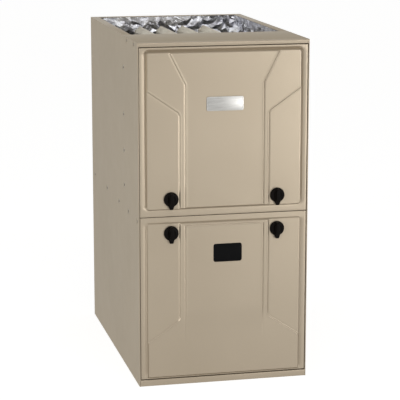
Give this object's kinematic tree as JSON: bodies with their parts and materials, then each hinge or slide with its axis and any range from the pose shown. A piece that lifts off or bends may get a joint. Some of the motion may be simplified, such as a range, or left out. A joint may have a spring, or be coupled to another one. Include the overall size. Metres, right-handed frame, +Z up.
{
  "type": "forced air gas furnace",
  "caption": "Upright sheet-metal warm air furnace with two lift-off pressed front doors held by black quarter-turn knobs, a small dark sight window, open top outlet and open base inlet.",
  "frame": {"origin": "centre of the overall footprint on the floor, knobs included", "axes": "+Z up, -Y out of the doors, +X to the right seen from the front"},
  "size_m": [0.4444, 0.744, 0.889],
  "materials": {
    "casing_paint": "satin beige-grey baked paint",
    "galvanised_steel": "galvanised sheet",
    "foil_insulation": "foil-faced fibre blanket",
    "aluminised_steel": "aluminised sheet",
    "black_steel": "satin black",
    "cast_aluminium": "as cast",
    "motor_paint": "satin enamel",
    "ground_steel": "ground",
    "black_plastic": "moulded, slight sheen",
    "red_plastic": "moulded",
    "dark_glass": "smoked, polished",
    "brushed_plate": "brushed, blank",
    "circuit_board": "laminate with moulded components",
    "ceramic": "unglazed",
    "tube_rubber": "matt"
  },
  "bodies": {
    "root": {"casing_left_side": "casing_paint", "casing_right_side": "casing_paint", "casing_back": "casing_paint", "top_front_plate": "casing_paint", "base_rail": "casing_paint", "blower_shelf": "galvanised_steel", "vestibule_panel": "galvanised_steel", "casing_liner": "foil_insulation", "latch_bracket_left": "galvanised_steel", "latch_bracket_right": "galvanised_steel", "heat_exchanger_cell_1": "aluminised_steel", "heat_exchanger_cell_2": "aluminised_steel", "heat_exchanger_cell_3": "aluminised_steel", "heat_exchanger_cell_4": "aluminised_steel", "burner_1": "aluminised_steel", "burner_2": "aluminised_steel", "burner_3": "aluminised_steel", "burner_4": "aluminised_steel", "burner_bracket": "galvanised_steel", "gas_manifold": "black_steel", "gas_valve": "cast_aluminium", "gas_inlet_pipe": "black_steel", "igniter": "ceramic", "flame_sensor": "ceramic", "rollout_switch": "black_plastic", "collector_box": "galvanised_steel", "inducer_housing": "black_steel", "inducer_motor": "motor_paint", "vent_pipe": "galvanised_steel", "pressure_switch": "cast_aluminium", "pressure_tube": "tube_rubber", "limit_switch": "black_plastic", "blower_scroll": "galvanised_steel", "blower_side_left": "galvanised_steel", "blower_side_right": "galvanised_steel", "blower_motor": "motor_paint", "motor_mount": "black_steel", "run_capacitor": "cast_aluminium", "control_panel": "galvanised_steel", "control_board": "circuit_board", "transformer": "black_steel", "door_switch": "black_plastic", "junction_box": "galvanised_steel"},
    "upper_door": {"upper_door": "casing_paint", "blank_nameplate": "brushed_plate"},
    "lower_door": {"lower_door": "casing_paint", "lower_door_insulation": "foil_insulation", "window_lens": "dark_glass", "window_retainer": "black_plastic"},
    "upper_left_knob": {"upper_left_knob": "black_plastic"},
    "upper_right_knob": {"upper_right_knob": "black_plastic"},
    "lower_left_knob": {"lower_left_knob": "black_plastic"},
    "lower_right_knob": {"lower_right_knob": "black_plastic"},
    "blower_rotor": {"blower_wheel": "galvanised_steel", "blower_hub": "galvanised_steel", "blower_shaft": "ground_steel"},
    "inducer_rotor": {"inducer_wheel": "black_steel"},
    "valve_switch": {"gas_valve_switch": "red_plastic"},
    "reset_button": {"rollout_reset_button": "red_plastic"},
    "switch_plunger": {"door_switch_plunger": "red_plastic"}
  },
  "joints": [
    {"name": "upper_door_slide", "type": "slide", "parent": "root", "child": "upper_door", "axis": [0, -1, 0], "range_m": [0, 0.3]},
    {"name": "lower_door_slide", "type": "slide", "parent": "root", "child": "lower_door", "axis": [0, -1, 0], "range_m": [0, 0.3]},
    {"name": "upper_left_knob_turn", "type": "hinge", "parent": "upper_door", "child": "upper_left_knob", "pos_m": [-0.139, -0.352, 0.491], "axis": [0, 1, 0], "range_deg": [0, 90]},
    {"name": "upper_right_knob_turn", "type": "hinge", "parent": "upper_door", "child": "upper_right_knob", "pos_m": [0.139, -0.352, 0.491], "axis": [0, -1, 0], "range_deg": [0, 90]},
    {"name": "lower_left_knob_turn", "type": "hinge", "parent": "lower_door", "child": "lower_left_knob", "pos_m": [-0.139, -0.352, 0.4035], "axis": [0, 1, 0], "range_deg": [0, 90]},
    {"name": "lower_right_knob_turn", "type": "hinge", "parent": "lower_door", "child": "lower_right_knob", "pos_m": [0.139, -0.352, 0.4035], "axis": [0, -1, 0], "range_deg": [0, 90]},
    {"name": "blower_spin", "type": "hinge", "parent": "root", "child": "blower_rotor", "pos_m": [0, 0.195, 0.198], "axis": [1, 0, 0], "continuous": true},
    {"name": "inducer_spin", "type": "hinge", "parent": "root", "child": "inducer_rotor", "pos_m": [-0.025, -0.2183, 0.758], "axis": [0, 1, 0], "continuous": true},
    {"name": "gas_valve_switch_turn", "type": "hinge", "parent": "root", "child": "valve_switch", "pos_m": [0.18, -0.309, 0.543], "axis": [0, 1, 0], "range_deg": [0, 40]},
    {"name": "rollout_reset_press", "type": "slide", "parent": "root", "child": "reset_button", "axis": [1, 0, 0], "range_m": [0, 0.003], "stiffness_N_per_m": 300},
    {"name": "door_switch_plunger_slide", "type": "slide", "parent": "root", "child": "switch_plunger", "axis": [0, -1, 0], "range_m": [0, 0.006]}
  ],
  "couplings": [
    {"joint": "door_switch_plunger_slide", "follows": "lower_door_slide", "ratio": 0.02}
  ]
}
